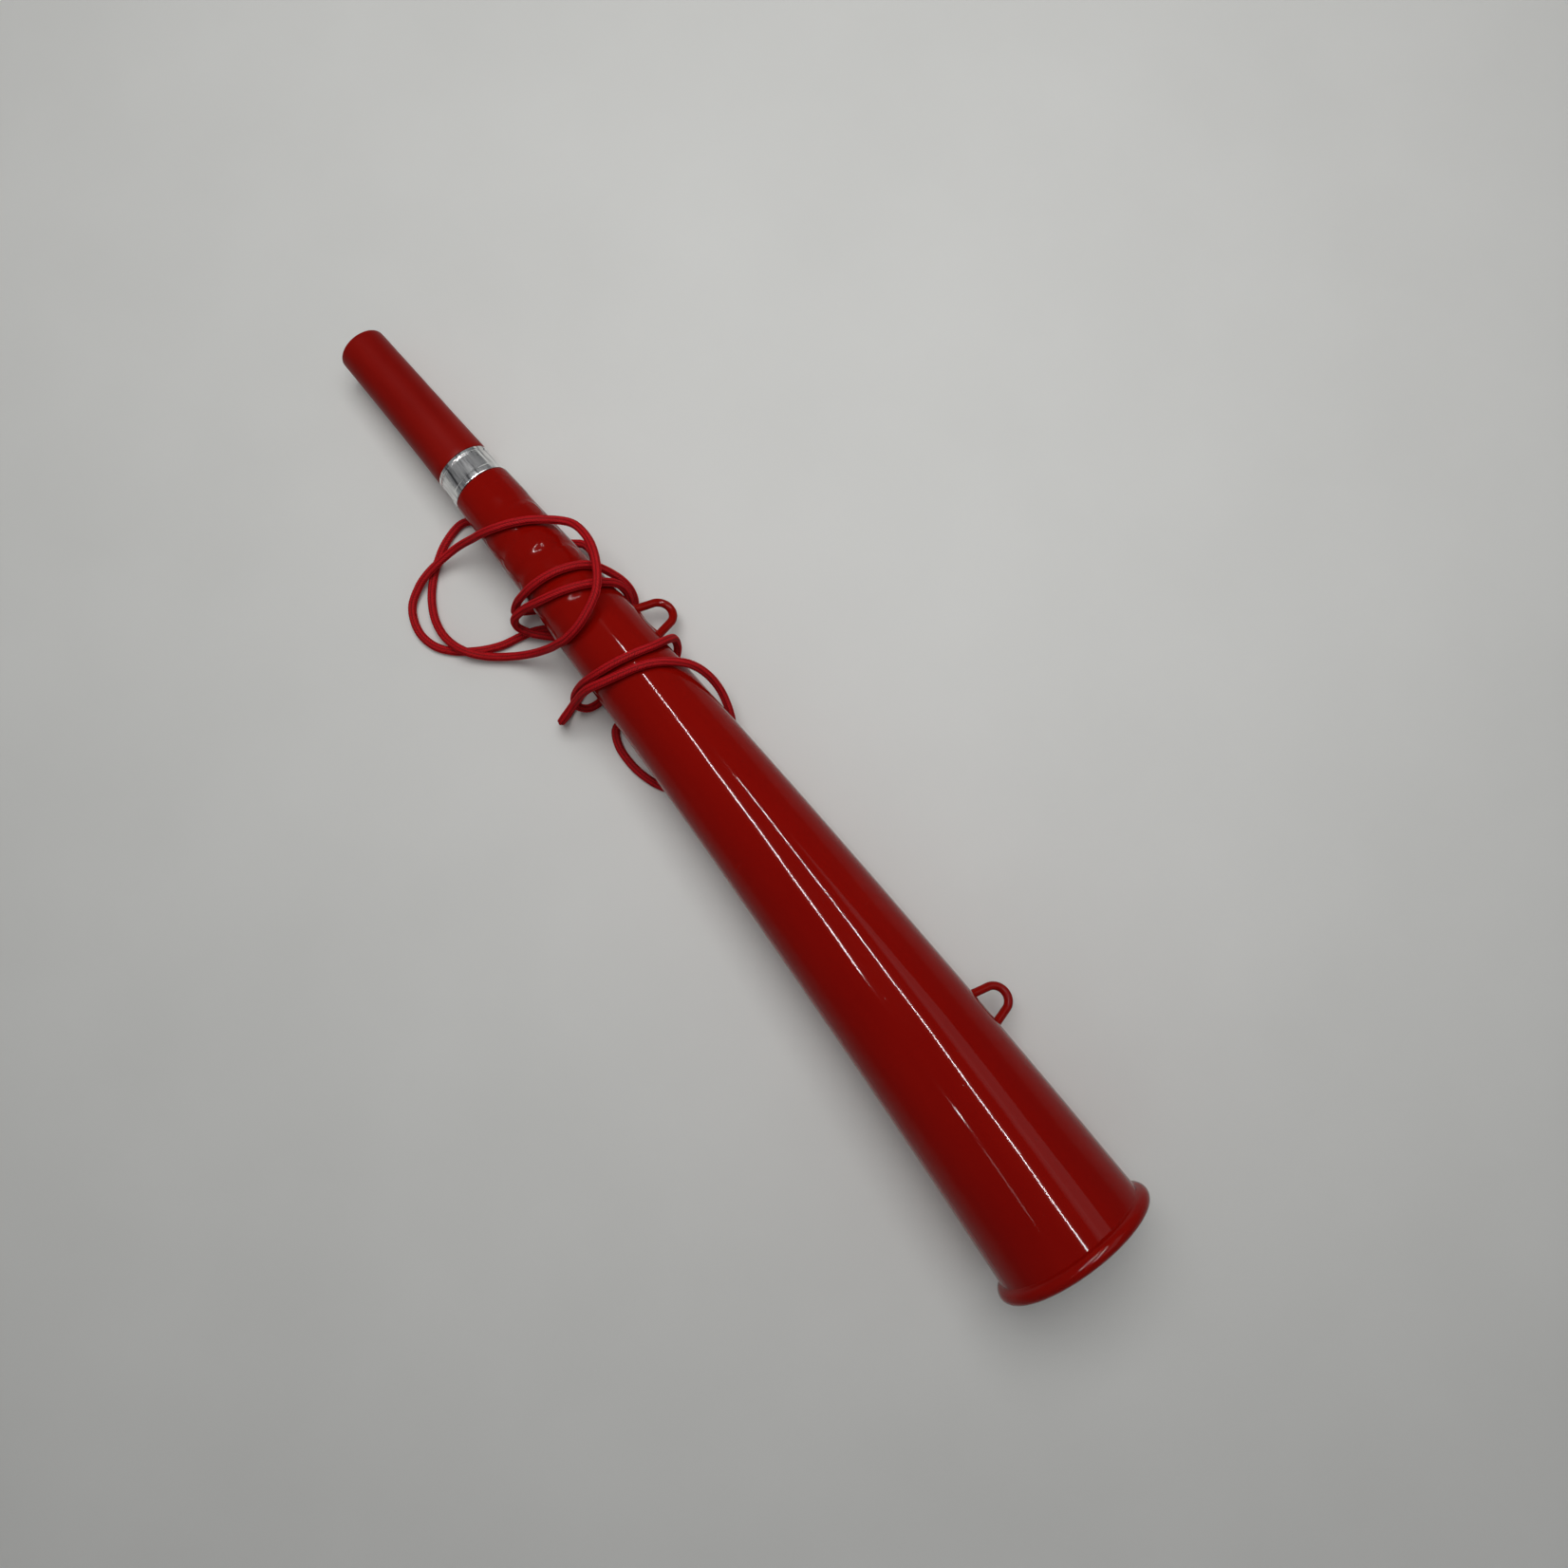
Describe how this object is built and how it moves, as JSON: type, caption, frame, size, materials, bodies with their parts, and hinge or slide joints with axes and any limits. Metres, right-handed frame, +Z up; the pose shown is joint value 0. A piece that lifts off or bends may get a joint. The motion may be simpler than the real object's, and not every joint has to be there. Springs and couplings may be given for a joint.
{
  "type": "stadium cheering horn",
  "caption": "Long slim cheering horn with a reed mouthpiece, chrome ring, finger grip, cord lugs, flared bell and a braided neck cord wound round it.",
  "frame": {"origin": "middle of the base of the horn's bounding box, without the neck cord, on the surface that the horn lies on", "axes": "+X from the mouth to the bell, +Y to the side with the cord lugs, +Z up"},
  "size_m": [0.6124, 0.1317, 0.0895],
  "materials": {
    "mouthpiece_plastic": "satin moulded plastic, red",
    "ring_chrome": "bright chrome plating",
    "barrel_plastic": "glossy moulded plastic, deep red",
    "block_plastic": "plain moulded plastic, black",
    "reed_brass": "rolled brass",
    "lanyard_braid": "round braided cord, red"
  },
  "bodies": {
    "horn": {"horn_barrel": "barrel_plastic", "bell_end": "barrel_plastic", "chrome_ring": "ring_chrome", "upper_lug": "barrel_plastic", "lower_lug": "barrel_plastic", "lanyard_loop": "lanyard_braid", "lanyard_turns": "lanyard_braid", "lanyard_tail": "lanyard_braid", "lanyard_knot_a": "lanyard_braid", "lanyard_knot_b": "lanyard_braid"},
    "mouthpiece": {"mouthpiece_tube": "mouthpiece_plastic", "reed_block": "block_plastic", "reed_shallot": "reed_brass", "reed_collar": "reed_brass", "reed_wedge": "block_plastic"},
    "tongue": {"reed_tongue": "reed_brass"}
  },
  "joints": [
    {"name": "mouthpiece_slide", "type": "slide", "parent": "horn", "child": "mouthpiece", "axis": [-0.9987, -0.0258, -0.0433], "range_m": [0, 0.028]},
    {"name": "reed_flex", "type": "hinge", "parent": "mouthpiece", "child": "tongue", "pos_m": [-0.22471, -0.00207, 0.02516], "axis": [-0.0279, 0.9996, -0.0012], "range_deg": [-2, 2], "stiffness_Nm_per_rad": 0.005}
  ]
}
